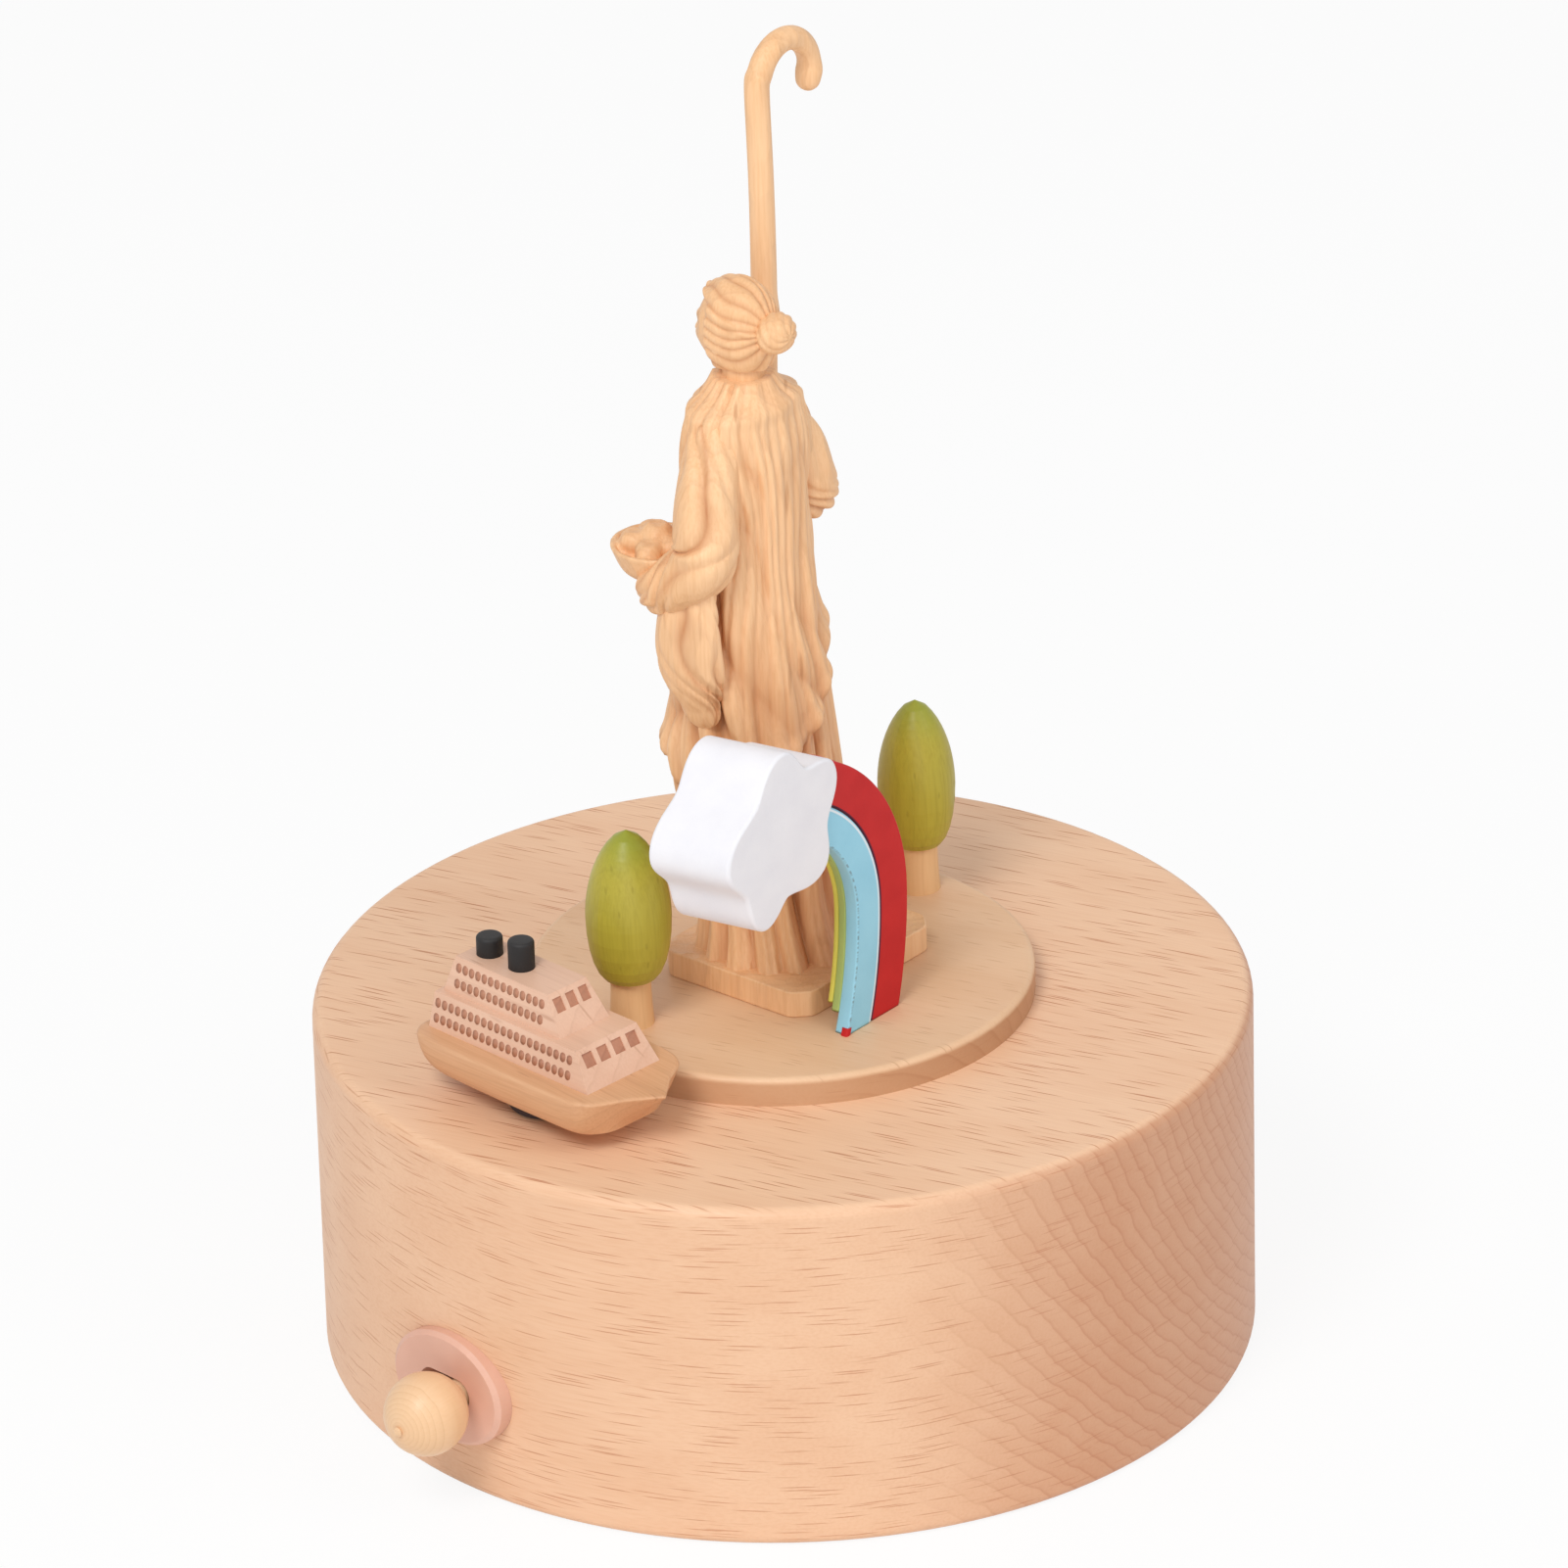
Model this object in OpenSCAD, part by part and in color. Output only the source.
// Round wooden music box: a magnet-drawn ship circles a carved figure, two trees and a rainbow.
// Millimetres, +Z up. The origin is on the base's axis, in the plane that the box stands on.
// The carved figure faces -Y, and the knob that starts and stops the tune is at +X.

/* [Base] */
// Outside diameter of the turned base
base_d = 110; // [106:0.5:124]
// Height of the base
base_h = 43.4; // [42.5:0.1:56]
// Wood left above the chamber that holds the movement
top_t = 4.5; // [3.5:0.1:5.2]
// Depth of the recess under the bottom plate, where the key turns
recess_h = 8; // [7:0.1:10]
// Radius of the base's upper edge
edge_r = 1.4; // [0.5:0.1:3]
// Radius of the base's lower edge
foot_r = 1.2; // [0.5:0.1:2.5]
// Thickness of the plywood bottom plate
plate_t = 2.5; // [2:0.1:4]

/* [Platform] */
// Diameter of the round platform under the scenery
platform_d = 59.2; // [57:0.2:60]
// Thickness of the platform
platform_t = 3.5; // [3:0.1:6]
// Radius of the platform's upper edge
platform_edge_r = 0.8; // [0.3:0.1:1.5]
// Diameter of the dowels under the platform
dowel_d = 4; // [3:0.1:5]
// Length of those dowels
dowel_l = 4.8; // [4:0.1:5.4]
// Distance from the axis to each dowel
dowel_x = 14; // [10:0.5:17]
// Turn of the figure and the rainbow about the axis, in degrees
scenery_turn = 5; // [-10:0.5:10]

/* [Figure] */
// Width of the figure's square plinth
plinth_w = 25; // [24:0.1:27]
// Depth of the plinth, front to back
plinth_l = 22; // [21:0.1:24]
// Thickness of the plinth
plinth_h = 3.3; // [2:0.1:5]
// Cut taken off each corner of the plinth
plinth_cut = 2.6; // [2:0.1:5]
// Place of the plinth's centre along X
plinth_x = -2; // [-4:0.1:0]
// Place of the plinth's centre along Y
plinth_y = 0.7; // [-1:0.1:2]
// Height of the figure from the plinth to the crown of the head
figure_h = 85; // [70:0.5:95]
// Shift of the upper body from the plinth's centre, towards the left hand
sway = 3.2; // [2:0.1:3.6]
// Shift of the upper body from the plinth's centre, forwards
lean = 3.2; // [2:0.1:3.6]
// Height of the staff above the platform
staff_h = 112.1; // [108:0.1:122]
// Diameter of the staff
staff_d = 3.2; // [2.4:0.1:4]
// Number of pleats round the robe
pleats = 14; // [10:1:18]

/* [Trees] */
// Diameter of the nearer tree's crown
near_crown_d = 10; // [8:0.1:12]
// Height of the nearer tree's crown
near_crown_h = 18.9; // [14:0.1:26]
// Diameter of the farther tree's crown
far_crown_d = 9.2; // [8:0.1:12]
// Height of the farther tree's crown
far_crown_h = 18.7; // [14:0.1:26]
// Diameter of a trunk
trunk_d = 4.7; // [3.4:0.1:5]
// Height of a trunk
trunk_h = 5.8; // [3:0.1:8]
// Diameter of the pegs at both ends of a trunk
peg_d = 2.6; // [2:0.1:3]
// Length of those pegs
peg_l = 2.4; // [1.5:0.1:2.8]

/* [Rainbow and cloud] */
// Distance from the axis to the rainbow's face
rainbow_y = 17.9; // [17.5:0.1:18.5]
// Place of the arc's centre, sideways from the axis
arc_x = 21.5; // [20.5:0.1:22.5]
// Height of the arc's centre above the platform
arc_z = 14.8; // [14:0.1:15.6]
// Outer radius of the red band
red_r = 23.2; // [22.6:0.1:23.8]
// Radius where red meets blue
blue_r = 18.1; // [17:0.1:19]
// Radius where blue meets yellow
yellow_r = 13.8; // [13.4:0.1:14.4]
// Inner radius of the yellow band
inner_r = 13.2; // [12.6:0.1:13.3]
// Radius of the gentle curve of the leg, on the red band's outside
leg_r = 56; // [48:1:80]
// Thickness of the red band
band_t = 3.4; // [2.5:0.1:4.5]
// How far the blue band stands proud of the red one
blue_proud = 0.4; // [0.1:0.1:1]
// Thickness of the yellow band, at the back
yellow_t = 1.1; // [0.8:0.1:2.4]
// Thickness of the cloud
cloud_t = 10; // [8:0.1:12]
// How far the cloud's face stands proud of the blue band
cloud_proud = 0.5; // [0.2:0.1:1.5]
// Radius of the cloud's lobes
lobe_r = 3.8; // [3.4:0.1:4.4]

/* [Ship] */
// Radius of the ship's course
orbit_r = 38.4; // [38.2:0.1:38.7]
// Length of the hull's straight part, stern to shoulder
hull_l = 28.4; // [27:0.1:32]
// Length of the pointed bow
bow_l = 5.4; // [4:0.1:9]
// Width of the hull
hull_w = 16.4; // [14:0.1:16.8]
// Height of the deck above the base
deck_h = 7.6; // [6.5:0.1:8]
// Gap between the ship and the base
ship_gap = 0.25; // [0.15:0.05:0.5]
// Height of the lower row of cabins
lower_h = 4.3; // [3.8:0.1:5]
// Width of the lower row of cabins at its foot
lower_w = 11.6; // [10.6:0.1:12.4]
// Height of the upper row of cabins
upper_h = 4.4; // [3.8:0.1:5]
// Width of the upper row of cabins at its foot
upper_w = 8; // [7:0.1:9]
// Backward lean of the cabins' fronts
rake = 2.7; // [1:0.1:4]
// Inward lean of the cabins' side walls
wall_lean = 0.9; // [0.2:0.1:1.4]
// Diameter of a funnel
funnel_d = 3.1; // [2.4:0.1:3.6]
// Height of the taller funnel
funnel_h = 3.5; // [2:0.1:4.4]
// Width of a porthole
porthole_w = 0.7; // [0.5:0.05:0.8]
// Height of a porthole
porthole_h = 1.15; // [0.9:0.05:1.3]
// Diameter of the magnet under the hull
magnet_d = 9; // [7:0.1:10]
// Thickness of a magnet
magnet_t = 3; // [2:0.1:3.2]
// How deep the ship's magnet is let into the hull
magnet_let = 0.3; // [0.2:0.1:1]

/* [Switch] */
// Width of the oval switch plate
oval_w = 17.5; // [16:0.1:20]
// Height of the oval switch plate
oval_h = 13.8; // [12:0.1:15]
// How far the plate stands out of the base
oval_proud = 1.5; // [0.8:0.1:2.5]
// How deep the plate is let into the base
oval_sink = 1.4; // [1:0.1:2]
// Length of the slot in the plate
slot_w = 8; // [7.9:0.1:9.6]
// Height of the slot
slot_h = 3.9; // [3.8:0.1:4.6]
// Diameter of the ball knob
ball_d = 9.8; // [8:0.1:12]
// Distance from the base to the ball's centre
ball_out = 7.2; // [6.5:0.1:9]
// Diameter of the knob's neck
neck_d = 3.4; // [2.8:0.1:3.5]
// Sideways travel of the ball
knob_travel = 5.2; // [4:0.1:5.6]
// Thickness of the stop lever
lever_t = 1; // [0.8:0.05:1.1]
// Diameter of the stem that carries the knob
stem_d = 1.8; // [1.4:0.1:2.2]

/* [Movement] */
// Thickness of the bedplate
bed_t = 2; // [1.8:0.1:2.2]
// Diameter of the winding arbor
arbor_d = 4; // [3:0.1:4.4]
// Outside diameter of the spring barrel
barrel_d = 22; // [20:0.1:22.6]
// Height of the spring barrel
barrel_h = 12; // [10:0.1:13]
// Diameter of the pinned cylinder
drum_d = 12; // [11:0.1:12.4]
// Length of the pinned cylinder
drum_l = 15.6; // [15.4:0.1:15.8]
// Number of notes, each with a comb tooth
notes = 18; // [12:1:18]
// Pins set in each note's track
pins_per_note = 4; // [2:1:6]
// Height of a pin above the cylinder
pin_h = 0.45; // [0.3:0.05:0.55]
// Radius of the air brake's wings
wing_r = 3.1; // [2.4:0.1:3.2]
// Width of the arm's rim round the drive magnet
arm_rim = 0.5; // [0.4:0.1:0.9]
// Gap between the end of the arm and the chamber's wall
arm_gap = 0.6; // [0.4:0.1:1]
// Width of the winding key across its wings
key_w = 23; // [18:0.5:30]
// Thickness of the key's wings
key_t = 1.2; // [0.8:0.1:2]

/* [Fits] */
// Radial clearance of a shaft that turns in a bore
run_fit = 0.05; // [0.02:0.01:0.09]
// Clearance of pieces that are pressed or glued together
seat_fit = 0.02; // [0.01:0.01:0.05]
// Gap between pieces that pass each other
pass_gap = 0.4; // [0.3:0.05:0.45]

/* [Hidden] */
$fn = 64;

eps = 0.01;
base_r = base_d / 2;
chamber_r = orbit_r + magnet_d / 2 + arm_rim + arm_gap;
rebate_r = (base_r + chamber_r) / 2;
platform_r = platform_d / 2;
ceiling_z = base_h - top_t;
plate_top = recess_h + plate_t;
bed_top = plate_top + bed_t;
platform_top = base_h + platform_t;

// Switch: the lever turns about a post near the chamber's wall
lever_z = bed_top + pass_gap;
switch_z = lever_z + lever_t / 2;
pivot_x = chamber_r - 4;
pivot_d = 3;
ball_reach = base_r + ball_out - pivot_x;
swing = asin(knob_travel / 2 / ball_reach);
lever_w = 3;

// Ship: heights above the base
keel_z = base_h + ship_gap;
hull_z = keel_z + magnet_t - magnet_let;
deck_z = base_h + deck_h;
lower_top = deck_z + lower_h;
upper_top = lower_top + upper_h;

// Gear train: the speeds of the ship, the cylinder and the governor follow from these counts
crown_r = 13;
crown_teeth = 52;
pinion_teeth = 20;
wheel_teeth = 32;
leaf_teeth = 8;
worm_wheel_teeth = 18;
worm_starts = 2;

// Crown wheel and cylinder: module follows from the crown wheel
crown_module = 2 * crown_r / crown_teeth;
pinion_r = crown_module * pinion_teeth / 2;
tooth_up = 0.9 * crown_module;
tooth_down = 1.2 * crown_module;
flange_z = bed_top + 0.5;
flange_t = 0.9;
crown_z = flange_z + flange_t + tooth_down;
axis_z = crown_z + pinion_r;
face_w = 1.4;
pinion_x = crown_r - face_w / 2;
flange_r = crown_r + face_w / 2 + 0.2;
shaft_d = 2;
post_t = 1.2;
near_post_x = flange_r + pass_gap;
drum_x = near_post_x + post_t + pass_gap;
wheel_x = drum_x + drum_l + pass_gap;
wheel_t = 1;
far_post_x = wheel_x + wheel_t + pass_gap + 0.1;

// Barrel and the arm above it
barrel_r = barrel_d / 2;
barrel_wall = 0.9;
drum_floor_z = flange_z + flange_t;
barrel_top = drum_floor_z + barrel_h;
cover_t = 1;
out_shaft_d = 4;
magnet_gap = 1;
magnet_sink = 0.8;
drive_magnet_z = ceiling_z - magnet_gap - magnet_t;
arm_t = 2.4;
arm_z = drive_magnet_z + magnet_sink - arm_t;
arm_hub_h = 2;

// Governor: a spur pair beside the cylinder, then a worm
spur_module = 0.4;
wheel_r = spur_module * wheel_teeth / 2;
leaf_r = spur_module * leaf_teeth / 2;
lift = 25;
gov_y = -(wheel_r + leaf_r) * cos(lift);
gov_z = axis_z + (wheel_r + leaf_r) * sin(lift);
worm_module = 0.45;
worm_wheel_r = worm_module * worm_wheel_teeth / 2;
worm_r = 1.3;
worm_lead = PI * worm_module * worm_starts;
worm_h = 6;
gov_post_x = far_post_x;
worm_wheel_t = 0.8;
worm_wheel_x = gov_post_x + post_t + pass_gap;
gov_post2_x = worm_wheel_x + worm_wheel_t + pass_gap + 0.1;
worm_x = worm_wheel_x + worm_wheel_t / 2;
worm_y = gov_y - worm_wheel_r - worm_r;
gov_shaft_d = 1;
worm_shaft_d = 0.9;
bridge_z = gov_z + worm_wheel_r + 0.32 + pass_gap + 0.1;
bridge_t = 1;
bracket_y0 = worm_y + wing_r + pass_gap;
bracket_y1 = gov_y + 2.4;
collar_r = 1.7;
collar_h = 1.6;
wing_h = 2.8;
wing_z = bed_top + 2.6;

// Comb beside the cylinder
comb_t = 1;
comb_gap = 0.15;
comb_y = drum_d / 2 + pin_h + comb_gap;
comb_l = 13.2;
comb_slit = 0.26;
track = drum_l / (notes + 0.6);
comb_seat_y = comb_y + 7.4;
comb_screw_d = 2;

// Screws
screw_d = 2.4;
screw_head_d = 4.6;
screw_l = 7;
plate_screw_r = rebate_r - screw_head_d / 2 - pass_gap;
bed_screw_at = [[-9.2, -6.4], [-9.2, 6.4], [24, -12]];
bed_x1 = gov_post2_x + post_t;
bed_y0 = worm_y - 2;
bed_y1 = comb_y + comb_l + 0.4;

// Scenery seats, on the platform's top
near_inset = 7.3;
far_inset = 4.8;
near_tree = [platform_r - near_inset, -2.4];
far_tree = [far_inset - platform_r, -1.6];

// Shapes used by more than one piece

function arc(centre, r, from, to, steps = 6) =
    [for (i = [0 : steps]) centre + r * [cos(from + (to - from) * i / steps),
                                         sin(from + (to - from) * i / steps)]];

function oval(w, h, steps = 64) =
    [for (i = [0 : steps - 1]) [w / 2 * cos(360 * i / steps), h / 2 * sin(360 * i / steps)]];

// Straight-flanked gear outline with a tooth at angle 0
function gear(teeth, module_size, up, down, share = 0.4) =
    let (r = module_size * teeth / 2, step = 360 / teeth,
         half = share * step / 2,
         tip = half * 0.5, root = half * 1.35)
    [for (i = [0 : teeth - 1], k = [0 : 3])
        let (a = i * step + [-root, -tip, tip, root][k], q = [-down, up, up, -down][k])
        (r + q) * [cos(a), sin(a)]];

// Turns a shape that was drawn upright so that its Z runs along +X
module along_x(x, y, z) translate([x, y, z]) rotate([90, 0, 90]) children();

module countersunk(length, d = screw_d, head_d = screw_head_d) {
    head_h = (head_d - d) / 2;
    rotate_extrude() polygon([[0, 0], [head_d / 2, 0], [d / 2, head_h], [d / 2, length], [0, length]]);
}

module cheese_head(length, d, head_d, head_h) {
    cylinder(d = head_d, h = head_h);
    translate([0, 0, -length]) cylinder(d = d, h = length + eps);
}

module at_plate_screws()
    for (a = [45 : 90 : 315]) rotate([0, 0, a]) translate([plate_screw_r, 0, recess_h]) children();

module at_bed_screws() for (p = bed_screw_at) translate([p.x, p.y, recess_h]) children();

module at_comb_screws()
    for (s = [0.22, 0.78]) translate([drum_x + drum_l * s, comb_y + comb_l - 2.8, 0]) children();

module at_dowels() for (s = [-1, 1]) translate([s * dowel_x, 0, base_h]) children();

// Case

module base_body() color("burlywood") difference() {
    rotate_extrude($fn = 128) polygon(concat(
        [[rebate_r, 0]],
        arc([base_r - foot_r, foot_r], foot_r, -90, 0),
        arc([base_r - edge_r, base_h - edge_r], edge_r, 0, 90),
        [[0, base_h], [0, ceiling_z], [chamber_r, ceiling_z], [chamber_r, plate_top], [rebate_r, plate_top]]
    ));
    along_x(base_r - oval_sink, 0, switch_z)
        linear_extrude(oval_sink + 1) polygon(oval(oval_w + 2 * seat_fit, oval_h + 2 * seat_fit));
    translate([chamber_r - 1, -slot_w / 2 - 1, switch_z - slot_h / 2])
        cube([base_r - chamber_r + 1, slot_w + 2, slot_h]);
    at_plate_screws() translate([0, 0, plate_t - 1]) cylinder(d = screw_d + 2 * seat_fit, h = screw_l + 1);
    at_dowels() translate([0, 0, -dowel_l / 2]) cylinder(d = dowel_d + 2 * seat_fit, h = dowel_l);
}

module bottom_plate() color("tan") difference() {
    translate([0, 0, recess_h]) cylinder(r = rebate_r - seat_fit, h = plate_t, $fn = 128);
    translate([0, 0, recess_h - 1]) cylinder(d = arbor_d + 4, h = plate_t + 2);
    at_plate_screws() screw_hole();
    at_bed_screws() screw_hole();
    translate([pivot_x, 0, plate_top - 1.5]) cylinder(d = pivot_d + 2 * seat_fit, h = 2);
}

// Clearance hole with a countersink, from a plate's underside
module screw_hole() {
    head_r = screw_head_d / 2 + seat_fit;
    hole_r = screw_d / 2 + seat_fit;
    rotate_extrude() polygon([[0, -1], [head_r, -1], [head_r, 0], [hole_r, head_r - hole_r],
                              [hole_r, plate_t + bed_t + 1], [0, plate_t + bed_t + 1]]);
}

module plate_screws() color("silver") at_plate_screws() countersunk(plate_t + screw_l - 0.5);

module platform() color("burlywood") difference() {
    translate([0, 0, base_h]) rotate_extrude($fn = 128) polygon(concat(
        [[0, 0], [platform_r, 0]],
        arc([platform_r - platform_edge_r, platform_t - platform_edge_r], platform_edge_r, 0, 90),
        [[0, platform_t]]
    ));
    at_dowels() translate([0, 0, -eps]) cylinder(d = dowel_d + 2 * seat_fit, h = dowel_l / 2 + eps);
    for (p = [near_tree, far_tree])
        translate([p.x, p.y, platform_top - peg_l - 0.1]) cylinder(d = peg_d + 2 * seat_fit, h = peg_l + 1);
}

module platform_dowels() color("wheat")
    at_dowels() translate([0, 0, 0.1 - dowel_l / 2]) cylinder(d = dowel_d, h = dowel_l - 0.2);

// Carved figure: a robed walker with a crook and a bowl, cut from one block

// Half width, half depth and depth of pleats from the hem to the crown, at parts of the figure's height
half_w = [[0, 10.2], [0.04, 9.8], [0.15, 9.3], [0.3, 8.7], [0.42, 8.1], [0.53, 7.2], [0.6, 6.6],
          [0.66, 6.9], [0.73, 7.6], [0.785, 7.9], [0.81, 6.9], [0.828, 4.2], [0.84, 2.7], [0.858, 2.5],
          [0.868, 3.2], [0.885, 4.1], [0.91, 4.7], [0.94, 4.9], [0.965, 4.5], [0.985, 3.2],
          [0.997, 1.4], [1, 0.5]];
half_l = [[0, 9.2], [0.04, 8.8], [0.15, 8.3], [0.3, 7.7], [0.42, 7.0], [0.53, 6.0], [0.6, 5.3],
          [0.66, 5.6], [0.73, 5.7], [0.785, 5.0], [0.81, 4.2], [0.828, 3.4], [0.84, 2.7], [0.858, 2.6],
          [0.868, 3.9], [0.885, 4.8], [0.91, 5.4], [0.94, 5.5], [0.965, 5.0], [0.985, 3.6],
          [0.997, 1.6], [1, 0.5]];
pleat_depth = [[0, 0.085], [0.3, 0.07], [0.5, 0.035], [0.6, 0.02], [0.75, 0.01], [0.8, 0]];
forward = [[0.84, 0], [0.87, 1], [0.93, 0.7], [1, 0.2]];
// Share of the upper body's shift that each height has
poise = [[0, 0.3], [0.3, 0.85], [0.45, 1]];
hair_depth = [[0.87, 0], [0.885, 0.5], [0.93, 0.7], [0.99, 0.2], [1, 0]];
knot_depth = [[0.868, 0], [0.885, 1.5], [0.91, 2.8], [0.925, 2.6], [0.94, 1.6], [0.955, 0.3], [0.965, 0]];

// Height of the mantle's hem, which falls from the right hip to the left knee
function hem(a) = 0.36 - 0.1 * cos(a) + 0.02 * sin(3 * a);

// Hair covers the head except for the face, which looks along -Y
function hair(t, a) = lookup(t, hair_depth) * lookup(abs(a - 270), [[38, 0], [50, 1]])
    + lookup(t, knot_depth) * lookup(abs(a - 90), [[0, 1], [14, 0.86], [30, 0.25], [42, 0]]);

function body_point(t, a, grow) =
    let (wave = 1 + lookup(t, pleat_depth) * (cos(pleats * a) + 0.35 * cos((pleats - 7) * a + 40)),
         out = grow + hair(t, a))
    [(lookup(t, half_w) + out) * wave * cos(a) + sway * lookup(t, poise),
     (lookup(t, half_l) + out) * wave * sin(a) - lookup(t, forward) - lean * lookup(t, poise), t * figure_h];

// Each ring's share of the hem's height, height added to it, and thickness of the mantle
body_rings = [[0, 0, 0], [0.06, 0, 0], [0.12, 0, 0], [0.3, 0, 0], [0.5, 0, 0], [0.7, 0, 0], [0.88, 0, 0],
              [0.99, 0, 0], [1, 0.004, 0.9], [0.88, 0.072, 1], [0.65, 0.21, 0.95], [0.4, 0.36, 0.9],
              [0.15, 0.51, 0.85], [0, 0.6, 0.8], [0, 0.63, 0.75], [0, 0.66, 0.7], [0, 0.7, 0.65],
              [0, 0.73, 0.6], [0, 0.76, 0.5], [0, 0.785, 0.4], [0, 0.8, 0.3], [0, 0.815, 0.1], [0, 0.828, 0],
              [0, 0.84, 0], [0, 0.858, 0], [0, 0.868, 0], [0, 0.885, 0], [0, 0.91, 0], [0, 0.925, 0],
              [0, 0.94, 0], [0, 0.955, 0], [0, 0.965, 0], [0, 0.976, 0], [0, 0.985, 0],
              [0, 0.997, 0], [0, 1, 0]];

// Closed skin over rings of points, each ring listed from below
module skin(rings) {
    n = len(rings[0]);
    last = len(rings) - 1;
    polyhedron(
        points = [for (ring = rings, p = ring) p],
        faces = concat(
            [for (j = [0 : last - 1], i = [0 : n - 1], k = [0, 1])
                let (a = j * n + i, b = j * n + (i + 1) % n)
                k == 0 ? [a, a + n, b] : [b, a + n, b + n]],
            [[for (i = [0 : n - 1]) i]],
            [[for (i = [n - 1 : -1 : 0]) last * n + i]]
        ),
        convexity = 8
    );
}

// Robe, mantle, neck and head in one skin
module body() {
    steps = 4 * pleats;
    skin([for (ring = body_rings) [for (i = [0 : steps - 1])
        let (a = 360 * i / steps)
        body_point(ring[0] * hem(a) + ring[1], a, ring[2])]]);
}

module limb(path, radii) for (i = [0 : len(path) - 2]) hull() {
    translate(path[i]) sphere(r = radii[i], $fn = 14);
    translate(path[i + 1]) sphere(r = radii[i + 1], $fn = 14);
}

module nose() hull() {
    translate([0, -5.9, 0.936 * figure_h]) sphere(r = 0.6, $fn = 14);
    translate([0, -6.5, 0.912 * figure_h]) sphere(r = 0.85, $fn = 14);
}

module crook(x, y) {
    bend_r = 4.6;
    tube_r = staff_d / 2 * 0.92;
    staff_top = staff_h - plinth_h - bend_r - tube_r;
    translate([x, y, 0]) {
        cylinder(d1 = staff_d * 1.15, d2 = 2 * tube_r, h = staff_top, $fn = 18);
        translate([-bend_r, 0, staff_top]) rotate([90, 0, 0])
            rotate_extrude(angle = 215, $fn = 36) translate([bend_r, 0]) circle(r = tube_r, $fn = 14);
        translate([-bend_r, 0, staff_top] + bend_r * [cos(215), 0, sin(215)])
            sphere(r = 1.18 * tube_r, $fn = 16);
        for (k = [0.72, 0.5]) translate([0, 0, staff_top * k]) sphere(d = 1.22 * staff_d, $fn = 16);
    }
}

module bowl(at) translate(at) {
    rotate_extrude($fn = 36) polygon([[0, -3.2], [2.6, -3.2], [4.3, -1.6], [5.2, 0.6], [5.5, 1.2], [4.9, 1.4],
                                      [4.2, 0.4], [0, 0.4]]);
    for (i = [0 : 4]) rotate([0, 0, 20 + 71 * i]) translate([2.7, 0, 1 + 0.06 * i]) rotate([0, 0, 37 * i])
        sphere(r = [1.7, 1.63, 1.77, 1.66, 1.73][i], $fn = 14);
    translate([0, 0, 2.1]) sphere(r = 1.9, $fn = 14);
}

// Nose, arms, crook and bowl, which share the upper body's shift
module held(staff_at) {
    hand_z = 0.715 * figure_h;
    nose();
    limb([[-6.4, 0.2, 0.775 * figure_h], [-9.6, 2, 0.63 * figure_h],
          [staff_at.x + 0.3, staff_at.y + 1.2, hand_z]], [2.9, 2.7, 1.9]);
    limb([[staff_at.x, staff_at.y, hand_z - 1], [staff_at.x, staff_at.y - 0.3, hand_z + 1.6]], [2.3, 2.1]);
    crook(staff_at.x, staff_at.y);
    limb([[6.4, 0.2, 0.775 * figure_h], [10, 2.2, 0.62 * figure_h], [11.2, -4.4, 0.555 * figure_h],
          [8.6, -7.4, 0.545 * figure_h]], [2.9, 2.8, 2.1, 1.7]);
    limb([[6.5, -4.8, 0.583 * figure_h], [8, -6, 0.583 * figure_h]], [2.6, 2.6]);
    bowl([8.2, -6.6, 0.6 * figure_h]);
}

module carved_figure() color("burlywood")
    translate([plinth_x, plinth_y, platform_top]) rotate([0, 0, scenery_turn]) {
        w = plinth_w / 2;
        l = plinth_l / 2;
        c = plinth_cut;
        staff_at = [-w + staff_d * 0.95, -4.6];
        foot_sink = 0.4;
        linear_extrude(plinth_h) polygon([[c - w, -l], [w - c, -l], [w, c - l], [w, l - c],
                                          [w - c, l], [c - w, l], [-w, l - c], [-w, c - l]]);
        translate([0, 0, plinth_h - foot_sink]) {
            body();
            translate([sway, -lean, 0]) held(staff_at);
            for (x = [-3.1, 3.1]) translate([x + 0.3 * sway, -7.3 - 0.3 * lean, 0]) scale([0.8, 1.3, 0.6])
                sphere(r = 2.3, $fn = 18);
        }
    }

// Trees

module trunk(at) color("wheat") translate([at.x, at.y, platform_top]) {
    r = trunk_d / 2;
    rotate_extrude() polygon(concat(
        [[0, -peg_l], [peg_d / 2, -peg_l], [peg_d / 2, 0], [r * 1.12, 0]],
        [for (i = [1 : 6]) [r * (1 + 0.12 * pow(1 - i / 6, 2)), trunk_h * i / 6]],
        [[peg_d / 2, trunk_h], [peg_d / 2, trunk_h + peg_l], [0, trunk_h + peg_l]]
    ));
}

module crown(at, d, h) color("olivedrab") translate([at.x, at.y, platform_top + trunk_h]) {
    r = d / 2;
    low = 0.42 * h;
    rotate_extrude() polygon(concat(
        [[0, peg_l + 0.1], [peg_d / 2 + seat_fit, peg_l + 0.1], [peg_d / 2 + seat_fit, 0], [0.5 * r, 0]],
        [for (i = [1 : 6]) [r * (0.5 + 0.5 * sin(15 * i)), low * (1 - cos(15 * i))]],
        [for (i = [1 : 11]) [r * pow(1 - pow(i / 12, 2), 0.64), low + (h - low) * i / 12]],
        [[0, h]]
    ));
}

module near_tree_trunk() trunk(near_tree);
module near_tree_crown() crown(near_tree, near_crown_d, near_crown_h);
module far_tree_trunk() trunk(far_tree);
module far_tree_crown() crown(far_tree, far_crown_d, far_crown_h);

// Rainbow and cloud, drawn with the arc's centre as origin and the face in the XZ plane

arc_end = 76;
leg_x = leg_r - red_r;

module on_rainbow()
    rotate([0, 0, scenery_turn]) translate([arc_x, rainbow_y, platform_top + arc_z]) children();

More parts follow.
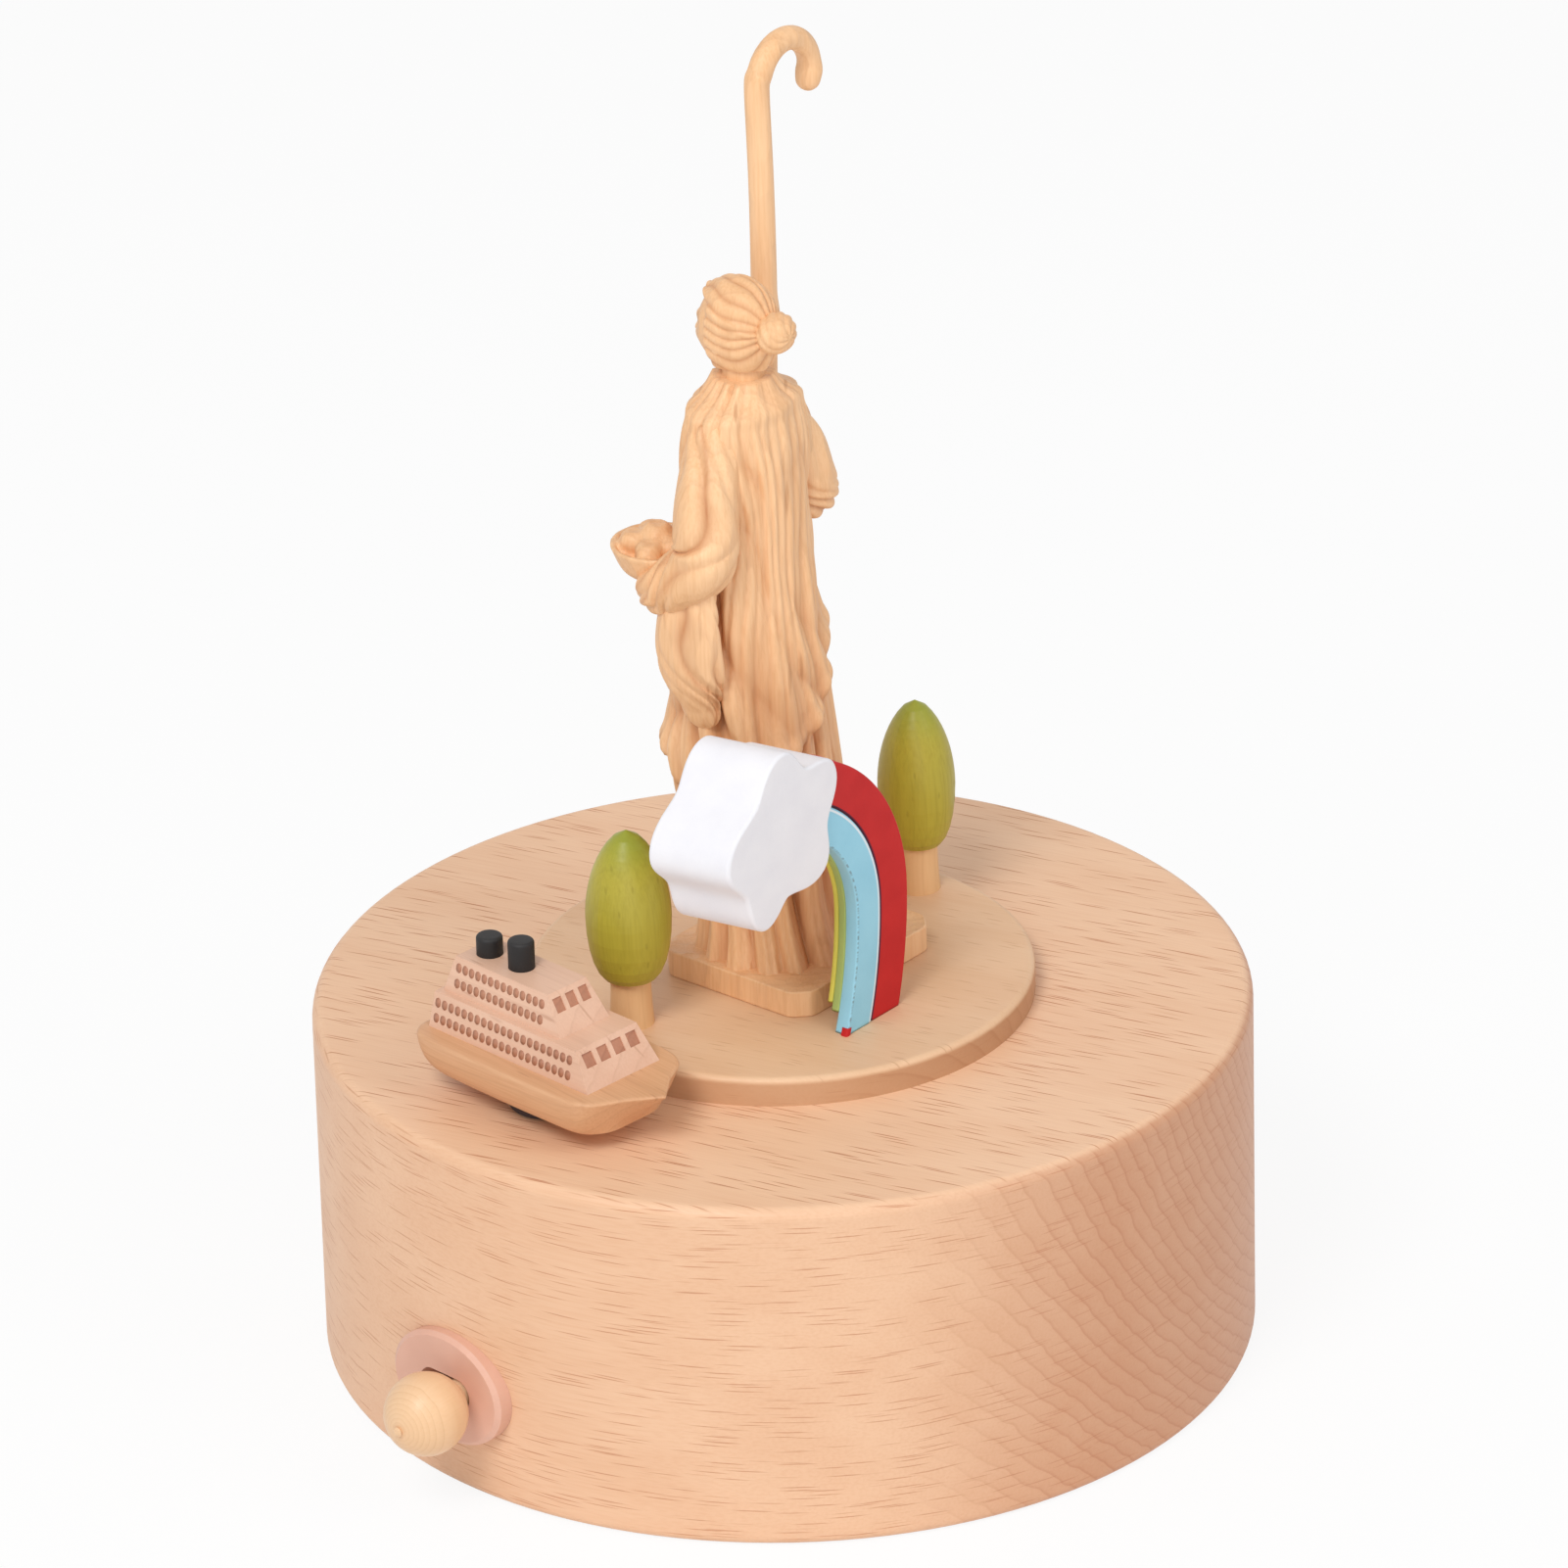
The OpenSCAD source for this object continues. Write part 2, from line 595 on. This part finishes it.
// Edge of a band: up the leg from the platform, then round the arc
function edge(r, end) = concat(
    [for (i = [0 : 8]) let (z = arc_z * (i / 8 - 1)) [leg_x - sqrt(pow(r + leg_x, 2) - z * z), z]],
    [for (i = [1 : 24]) r * [-cos(end * i / 24), sin(end * i / 24)]]);

// Band that rises from the platform into the cloud, from depth y0 back to y0 - t
module band(r_in, r_out, y0, t, end = arc_end) on_rainbow() translate([0, y0, 0]) rotate([90, 0, 0])
    linear_extrude(t) polygon(concat(edge(r_out, end), backwards(edge(r_in, end))));

module rainbow_red_band() color("firebrick") band(blue_r, red_r, 0, band_t);
module rainbow_blue_band() color("lightblue")
    band(yellow_r, blue_r - seat_fit, blue_proud, band_t + blue_proud);
module rainbow_yellow_band() color("khaki") band(inner_r, yellow_r - seat_fit, yellow_t - band_t, yellow_t);

// Lobes of the cloud's outline, from the arc's centre: place and share of the lobe radius
cloud_lobes = [[0.3, 15.6, 1.85], [1.4, 23.2, 0.84], [-5.6, 19.8, 1.03], [-3.9, 11.4, 1.08], [3.7, 8.6, 0.84],
               [5.6, 16.8, 1.11]];

module cloud() color("white") difference() {
    on_rainbow() translate([0, blue_proud + cloud_proud, 0]) rotate([90, 0, 0]) linear_extrude(cloud_t)
        for (p = cloud_lobes) translate([p[0], p[1]]) circle(r = lobe_r * p[2]);
    band(inner_r - seat_fit, red_r + seat_fit, blue_proud + seat_fit, band_t + blue_proud + 2 * seat_fit,
         arc_end + 0.1);
}

// Ship, drawn at the origin of the base's top with its bow towards +Y

module on_course() translate([orbit_r, 0, 0]) children();

// Half width of the hull's plan at a distance from the stern
function hull_half(y) =
    let (k = y / hull_l, corner = max(0, 1 - k / 0.08))
    y <= hull_l ? hull_w / 2 * (1 - 0.05 * pow(1 - k, 3) - 0.15 * corner * corner - 0.05 * pow(k, 4))
                : hull_w / 2 * 0.95 * (1 - pow((y - hull_l) / bow_l, 0.86));

function hull_ring(z, narrow, shorten) =
    let (stations = concat([for (k = [0, 0.02, 0.06, 0.2, 0.4, 0.6, 0.8, 0.93, 1]) k * hull_l],
                           [for (k = [0.25, 0.5, 0.75, 0.95]) hull_l + k * bow_l]),
         mid = hull_l / 2,
         side = [for (y = stations) [hull_half(y) * narrow, (y - mid) * shorten, z]])
    concat(side, [[0, (hull_l + bow_l - mid) * shorten, z]],
           [for (i = [len(side) - 1 : -1 : 0]) [-side[i].x, side[i].y, side[i].z]]);

module ship_hull() color("peru") on_course() difference() {
    side_h = deck_z - hull_z;
    skin([hull_ring(hull_z, 0.7, 0.8), hull_ring(hull_z + 0.1 * side_h, 0.79, 0.86),
          hull_ring(hull_z + 0.35 * side_h, 0.88, 0.93), hull_ring(hull_z + 0.68 * side_h, 0.965, 0.98),
          hull_ring(hull_z + 0.86 * side_h, 1, 1), hull_ring(hull_z + 0.96 * side_h, 0.985, 0.994),
          hull_ring(deck_z, 0.955, 0.98)]);
    translate([0, 0, hull_z - 1]) cylinder(d = magnet_d + 2 * seat_fit, h = 1 + magnet_let + 0.1);
}

// Cabins: place of each row's stern, its length, and the lean of its stern wall
lower_y = -13.3;
lower_l = 25.8;
lower_lean = 0.3;
upper_y = -12.5;
upper_l = 18.9;
upper_lean = 1.3;

function cabin_ring(z, half, back, front) =
    [[-half, back, z], [half, back, z], [half, front, z], [-half, front, z]];

module cabin(y0, l, z0, h, w, stern_lean)
    skin([cabin_ring(z0, w / 2, y0, y0 + l),
          cabin_ring(z0 + h, w / 2 - wall_lean, y0 + stern_lean, y0 + l - rake)]);

// Rows of upright portholes along both sides, and square panes high in the leaning front
module openings(y0, l, z0, h, w, stern_lean, count, panes) {
    depth = 0.8;
    first = y0 + stern_lean + porthole_w;
    last = y0 + l - rake - porthole_w;
    for (row = [0.29, 0.71], i = [0 : count - 1], s = [-1, 1])
        translate([s * (w / 2 - wall_lean * row), first + (last - first) * i / (count - 1), z0 + h * row])
            rotate([0, 90, 0]) linear_extrude(depth, center = true) porthole();
    high = 0.7;
    front_w = 0.9 * (w - 2 * wall_lean * high);
    for (i = [0 : panes - 1])
        translate([front_w * ((i + 0.5) / panes - 0.5), y0 + l - rake * high, z0 + h * high])
            rotate([atan(rake / h), 0, 0]) cube([0.68 * front_w / panes, depth, 0.4 * h], center = true);
}

module porthole() {
    straight = porthole_h - porthole_w;
    square([straight, porthole_w], center = true);
    for (s = [-1, 1]) translate([s * straight / 2, 0]) circle(d = porthole_w, $fn = 12);
}

module ship_cabins() color("wheat") on_course() difference() {
    union() {
        cabin(lower_y, lower_l, deck_z, lower_h, lower_w, lower_lean);
        cabin(upper_y, upper_l, lower_top - eps, upper_h + eps, upper_w, upper_lean);
    }
    openings(lower_y, lower_l, deck_z, lower_h, lower_w, lower_lean, 21, 4);
    openings(upper_y, upper_l, lower_top, upper_h, upper_w, upper_lean, 14, 3);
    funnel_rods(funnel_d + 2 * seat_fit, 1, 1);
}

// Place of each funnel along the ship, and its share of the funnel height
funnels = [[-8.8, 0.68], [-3.6, 1]];

module funnel_rods(d, foot, top) for (f = funnels)
    translate([0, f[0], upper_top - foot]) cylinder(d = d, h = foot + top * f[1]);

module ship_funnels() color("black") on_course() funnel_rods(funnel_d, 1, funnel_h);

module ship_magnet() color("dimgray")
    on_course() translate([0, 0, keel_z]) cylinder(d = magnet_d, h = magnet_t);

// Switch

module switch_plate() color("rosybrown") difference() {
    union() {
        along_x(base_r - oval_sink, 0, switch_z)
            linear_extrude(oval_sink + oval_proud - 0.5) polygon(oval(oval_w, oval_h));
        along_x(base_r + oval_proud - 0.5, 0, switch_z)
            linear_extrude(0.5, scale = 0.93) polygon(oval(oval_w, oval_h, 40));
    }
    along_x(base_r - oval_sink - 1, 0, switch_z) linear_extrude(oval_sink + oval_proud + 2) {
        square([slot_w - slot_h, slot_h], center = true);
        for (s = [-1, 1]) translate([s * (slot_w - slot_h) / 2, 0]) circle(d = slot_h);
    }
}

module on_lever() translate([pivot_x, 0, lever_z]) rotate([0, 0, swing]) children();

module switch_knob() color("wheat") on_lever() difference() {
    r = ball_d / 2;
    neck_r = neck_d / 2;
    neck_x = base_r - oval_sink + 0.2 - pivot_x;
    join = asin(neck_r / r);
    translate([0, 0, lever_t / 2]) rotate([0, 90, 0]) rotate_extrude() polygon(concat(
        [[0, neck_x], [neck_r, neck_x]],
        arc([0, ball_reach], r, join - 90, 86, 24),
        [[0.6, ball_reach + r + 0.3], [0.35, ball_reach + r + 0.45], [0, ball_reach + r + 0.45]]
    ));
    translate([0, 0, lever_t / 2]) rotate([0, 90, 0])
        cylinder(d = stem_d + 2 * seat_fit, h = ball_reach + 1.1);
}

// Face of the lever's tip, in the lever's own frame: it stops short of the collar at the end of the swing
tip_y = worm_y;
tip_x = (worm_x + collar_r + 0.3 - pivot_x - tip_y * sin(swing)) / cos(swing);

module stop_lever() color("silver") on_lever() {
    stem_x = base_r - oval_sink - pivot_x - 3;
    difference() {
        linear_extrude(lever_t) {
            circle(d = pivot_d + 1.8);
            translate([0, -lever_w / 2]) square([stem_x, lever_w]);
            polygon([[-0.5, 0], [1.7, 0], [1, tip_y + 3.1], [tip_x + 1.1, tip_y - 0.6], [tip_x, tip_y - 0.6],
                     [tip_x, tip_y + 0.8], [-0.2, tip_y + 2.6]]);
        }
        translate([0, 0, -1]) cylinder(d = pivot_d + 2 * run_fit, h = lever_t + 2);
    }
    translate([stem_x - 1.5, 0, lever_t / 2]) rotate([0, 90, 0])
        cylinder(d = stem_d, h = ball_reach + 1 - stem_x + 1.5);
}

module lever_pivot() color("silver") translate([pivot_x, 0, 0]) {
    translate([0, 0, plate_top - 1.4]) cylinder(d = pivot_d, h = lever_z + lever_t + 0.2 - plate_top + 1.4);
    translate([0, 0, plate_top]) cylinder(d = pivot_d + 1.4, h = lever_z - 0.1 - plate_top);
    translate([0, 0, lever_z + lever_t + 0.1]) cylinder(d = pivot_d + 1.6, h = 0.8);
}

// Winding

key_hub_d = 7;
key_z = 1;

module winding_key() color("gold") difference() {
    lobe = 0.13 * key_w;
    h = recess_h - 0.5 - key_z;
    union() {
        translate([0, 0, key_z]) cylinder(d = key_hub_d, h = h);
        translate([0, key_t / 2, key_z + lobe]) rotate([90, 0, 0]) linear_extrude(key_t) {
            square([key_w - 2 * lobe, 1.3 * lobe], center = true);
            for (s = [-1, 1]) translate([s * (key_w / 2 - lobe), 0]) circle(r = lobe);
        }
    }
    for (s = [-1, 1]) translate([s * (key_w / 2 - lobe), 0, key_z + lobe]) rotate([90, 0, 0])
        cylinder(r = 0.45 * lobe, h = 2 * key_t, center = true);
    translate([0, 0, key_z + 1.5]) cylinder(d = arbor_d + 2 * seat_fit, h = h);
}

module winding_arbor() color("silver") {
    translate([0, 0, key_z + 1.6]) cylinder(d = arbor_d, h = barrel_top - 0.4 - key_z - 1.6);
    translate([0, 0, drum_floor_z + barrel_h / 2]) rotate([0, 90, 0]) cylinder(d = 1.2, h = arbor_d / 2 + 1);
}

module arbor_bush() color("goldenrod") translate([0, 0, plate_top]) difference() {
    union() {
        cylinder(d = arbor_d + 3, h = bed_t);
        translate([0, 0, bed_t]) cylinder(d = arbor_d + 4.4, h = 0.35);
    }
    translate([0, 0, -1]) cylinder(d = arbor_d + 2 * run_fit, h = bed_t + 3);
}

// Movement frame

module bedplate() color("gray") difference() {
    union() {
        translate([0, 0, plate_top]) linear_extrude(bed_t) {
            circle(r = flange_r + 0.4);
            translate([0, bed_y0]) square([bed_x1, bed_y1 - bed_y0]);
        }
        for (x = [near_post_x, far_post_x]) bearing_post(x, 0, axis_z, 2.4);
        translate([drum_x, comb_seat_y, bed_top - eps])
            cube([drum_l, bed_y1 - comb_seat_y, axis_z - comb_t / 2 - bed_top + eps]);
    }
    translate([0, 0, plate_top - 1]) cylinder(d = arbor_d + 3 + 2 * seat_fit, h = bed_t + 2);
    along_x(near_post_x - 1, 0, axis_z)
        cylinder(d = shaft_d + 2 * run_fit, h = far_post_x - near_post_x + post_t + 2);
    at_comb_screws() translate([0, 0, bed_top + 0.5]) cylinder(d = comb_screw_d + 2 * seat_fit, h = axis_z);
    at_bed_screws() cylinder(d = screw_d + 2 * seat_fit, h = plate_t + bed_t + 1);
    translate([worm_x, worm_y, bed_top - 1]) cylinder(d = worm_shaft_d + 2 * run_fit, h = 2);
    translate([gov_screw_x, gov_screw_y, plate_top - 1])
        cylinder(d = gov_screw_d + 2 * seat_fit, h = bed_t + 2);
}

// Upright plate with a round top, for a shaft along X at height z
module bearing_post(x, y, z, half) {
    translate([x, y - half, bed_top - eps]) cube([post_t, 2 * half, z - bed_top + eps]);
    along_x(x, y, z) cylinder(r = half, h = post_t);
}

module bedplate_screws() color("silver") at_bed_screws() countersunk(plate_t + bed_t - 0.1);

// Spring and output

module spring_barrel() color("goldenrod") difference() {
    union() {
        translate([0, 0, flange_z]) cylinder(r = flange_r, h = flange_t);
        translate([0, 0, drum_floor_z - eps]) cylinder(r = barrel_r, h = barrel_h + eps);
        for (i = [0 : crown_teeth - 1]) rotate([0, 0, (i + 0.5) * 360 / crown_teeth]) crown_tooth();
    }
    translate([0, 0, drum_floor_z + 0.6]) cylinder(r = barrel_r - barrel_wall, h = barrel_h);
    translate([0, 0, flange_z - 1]) cylinder(d = arbor_d + 2 * run_fit, h = barrel_h);
}

module crown_tooth() {
    half = 0.175 * PI * crown_module;
    translate([pinion_x, -half, drum_floor_z - eps]) cube([face_w, 2 * half, tooth_up + tooth_down + eps]);
}

// Mainspring: a strip wound from the arbor out to the barrel's wall
spring_turns = 6;
spring_strip = 0.35;
spring_start_r = arbor_d / 2 + 1.6;
spring_end_r = barrel_r - barrel_wall - 0.5;

function spiral(r_add) = [for (i = [0 : 24 * spring_turns])
    (spring_start_r + (spring_end_r - spring_start_r) * i / (24 * spring_turns) + r_add)
        * [cos(15 * i), sin(15 * i)]];

function backwards(list) = [for (i = [len(list) - 1 : -1 : 0]) list[i]];

module mainspring() color("slategray") translate([0, 0, drum_floor_z + 1])
    linear_extrude(barrel_h - 1.9) polygon(concat(spiral(0), backwards(spiral(-spring_strip))));

module barrel_cover() color("goldenrod") {
    translate([0, 0, barrel_top]) cylinder(r = barrel_r, h = cover_t);
    translate([0, 0, barrel_top + cover_t - eps])
        cylinder(d = out_shaft_d, h = arm_z + arm_t - barrel_top - cover_t);
}

module magnet_arm() color("whitesmoke") difference() {
    union() {
        translate([0, 0, arm_z]) linear_extrude(arm_t) {
            circle(r = out_shaft_d / 2 + 2.6);
            translate([0, -3.2]) square([orbit_r, 6.4]);
            translate([orbit_r, 0]) circle(r = magnet_d / 2 + arm_rim);
        }
        translate([0, 0, arm_z - arm_hub_h]) cylinder(r = out_shaft_d / 2 + 2.6, h = arm_hub_h + eps);
    }
    translate([0, 0, arm_z - arm_hub_h - 1])
        cylinder(d = out_shaft_d + 2 * seat_fit, h = arm_t + arm_hub_h + 2);
    translate([orbit_r, 0, drive_magnet_z]) cylinder(d = magnet_d + 2 * seat_fit, h = magnet_t);
}

module drive_magnet() color("dimgray")
    translate([orbit_r, 0, drive_magnet_z]) cylinder(d = magnet_d, h = magnet_t);

// Pinned cylinder and comb

module pinned_cylinder() color("goldenrod") difference() {
    union() {
        along_x(drum_x, 0, axis_z) cylinder(d = drum_d, h = drum_l);
        for (n = [0 : notes - 1], k = [0 : pins_per_note - 1]) {
            a = 90 + 360 * (k + 0.37 * sin(137 * (n + 3 * k))) / pins_per_note + 29 * n;
            translate([drum_x + track * (n + 0.8), 0, axis_z]) rotate([a, 0, 0])
                translate([0, 0, drum_d / 2 - pin_h]) cylinder(d = 0.36, h = 2 * pin_h, $fn = 16);
        }
    }
    along_x(drum_x - 1, 0, axis_z) cylinder(d = shaft_d + 2 * seat_fit, h = drum_l + 2);
}

module cylinder_shaft() color("silver")
    along_x(pinion_x - 0.3, 0, axis_z) cylinder(d = shaft_d, h = far_post_x + post_t + 0.4 - pinion_x + 0.3);

// A gear on a shaft along X, with a tooth at the given angle about it
module x_gear(x, y, z, t, outline, bore_d, tooth_at) along_x(x, y, z) difference() {
    rotate([0, 0, tooth_at]) linear_extrude(t) polygon(outline);
    translate([0, 0, -1]) cylinder(d = bore_d + 2 * seat_fit, h = t + 2);
}

module cylinder_pinion() color("goldenrod")
    x_gear(pinion_x, 0, axis_z, face_w, gear(pinion_teeth, crown_module, tooth_up, tooth_down, 0.35),
           shaft_d, -90);

// The wheel shows a gap, and the pinion a tooth, on the line between their axes
module cylinder_wheel() color("goldenrod")
    x_gear(wheel_x, 0, axis_z, wheel_t, gear(wheel_teeth, spur_module, 0.3, 0.5, 0.36), shaft_d,
           180 - lift + 180 / wheel_teeth);

module comb() color("silver") difference() {
    translate([drum_x + 0.2, comb_y, axis_z - comb_t / 2]) cube([drum_l - 0.4, comb_l, comb_t]);
    for (n = [1 : notes - 1])
        translate([drum_x + track * (n + 0.3) - comb_slit / 2, comb_y - 1, axis_z - comb_t])
            cube([comb_slit, 1 + 7 - 1.6 * n / notes, 2 * comb_t]);
    at_comb_screws() translate([0, 0, axis_z - comb_t])
        cylinder(d = comb_screw_d + 2 * seat_fit, h = 2 * comb_t);
}

module comb_screws() color("silver") at_comb_screws() translate([0, 0, axis_z + comb_t / 2])
    cheese_head(axis_z - bed_top - 1, comb_screw_d, 3.8, 1.2);

// Governor

gov_foot_l = 3.2;
gov_foot_t = 0.9;
gov_screw_d = 1.4;
gov_screw_x = (worm_wheel_x + gov_post2_x + post_t) / 2;
gov_screw_y = bracket_y1 + gov_foot_l / 2;

module governor_bracket() color("gainsboro") difference() {
    w = gov_post2_x + post_t - gov_post_x;
    l = bracket_y1 - bracket_y0;
    union() {
        for (x = [gov_post_x, gov_post2_x])
            translate([x, bracket_y0, bed_top]) cube([post_t, l, bridge_z - bed_top + eps]);
        translate([gov_post_x, bracket_y0, bridge_z]) cube([w, l, bridge_t]);
        translate([gov_post_x, worm_y - 1.4, bridge_z]) cube([w, bracket_y0 - worm_y + 1.5, bridge_t]);
        translate([worm_wheel_x, bracket_y1 - 0.5, bed_top])
            cube([gov_post2_x + post_t - worm_wheel_x, gov_foot_l + 0.5, gov_foot_t]);
    }
    along_x(gov_post_x - 1, gov_y, gov_z) cylinder(d = gov_shaft_d + 2 * run_fit, h = w + 2);
    translate([worm_x, worm_y, bridge_z - 1]) cylinder(d = worm_shaft_d + 2 * run_fit, h = bridge_t + 2);
    translate([gov_screw_x, gov_screw_y, bed_top - 1]) cylinder(d = gov_screw_d + 2 * seat_fit, h = 3);
}

module governor_screw() color("silver") translate([gov_screw_x, gov_screw_y, bed_top + gov_foot_t])
    cheese_head(bed_t + gov_foot_t - 0.1, gov_screw_d, 2.2, 0.8);

module governor_shaft() color("silver")
    along_x(wheel_x - 0.3, gov_y, gov_z)
        cylinder(d = gov_shaft_d, h = gov_post2_x + post_t + 0.2 - wheel_x + 0.3);

module governor_pinion() color("goldenrod")
    x_gear(wheel_x - 0.2, gov_y, gov_z, wheel_t + 0.4, gear(leaf_teeth, spur_module, 0.3, 0.5, 0.36),
           gov_shaft_d, -lift);

module worm_wheel() color("wheat")
    x_gear(worm_wheel_x, gov_y, gov_z, worm_wheel_t, gear(worm_wheel_teeth, worm_module, 0.3, 0.45, 0.32),
           gov_shaft_d, 180);

// Right-handed worm, with its thread's gap facing the worm wheel
module worm_shaft() color("silver") translate([worm_x, worm_y, 0]) {
    translate([0, 0, bed_top - 0.9]) cylinder(d = worm_shaft_d, h = bridge_z + bridge_t - bed_top + 1.2);
    turn = 360 * worm_h / worm_lead;
    tip_r = worm_r + 0.28;
    root_r = worm_r - 0.5;
    translate([0, 0, gov_z - worm_h / 2]) rotate([0, 0, -turn / 2])
        linear_extrude(worm_h, twist = -turn, slices = 40, $fn = 12)
            polygon([for (s = [0 : worm_starts - 1], k = [0 : 5])
                let (a = 360 / worm_starts * s + [-52, -34, -13, 13, 34, 52][k],
                     r = [root_r, worm_r, tip_r, tip_r, worm_r, root_r][k])
                r * [cos(a), sin(a)]]);
}

module brake_collar() color("goldenrod") translate([worm_x, worm_y, bed_top + 0.2]) difference() {
    cylinder(r = collar_r, h = collar_h);
    translate([0, 0, -1]) cylinder(d = worm_shaft_d + 2 * seat_fit, h = collar_h + 2);
}

module air_brake() color("whitesmoke") translate([worm_x, worm_y, wing_z]) difference() {
    union() {
        cylinder(r = 1.1, h = wing_h);
        translate([-wing_r, -0.2, 0]) cube([2 * wing_r, 0.4, wing_h]);
    }
    translate([0, 0, -1]) cylinder(d = worm_shaft_d + 2 * seat_fit, h = wing_h + 2);
}

base_body();
bottom_plate();
plate_screws();
platform();
platform_dowels();
carved_figure();
near_tree_trunk();
near_tree_crown();
far_tree_trunk();
far_tree_crown();
rainbow_red_band();
rainbow_blue_band();
rainbow_yellow_band();
cloud();
ship_hull();
ship_cabins();
ship_funnels();
ship_magnet();
switch_plate();
switch_knob();
stop_lever();
lever_pivot();
winding_key();
winding_arbor();
arbor_bush();
bedplate();
bedplate_screws();
spring_barrel();
mainspring();
barrel_cover();
magnet_arm();
drive_magnet();
pinned_cylinder();
cylinder_shaft();
cylinder_pinion();
cylinder_wheel();
comb();
comb_screws();
governor_bracket();
governor_screw();
governor_shaft();
governor_pinion();
worm_wheel();
worm_shaft();
brake_collar();
air_brake();
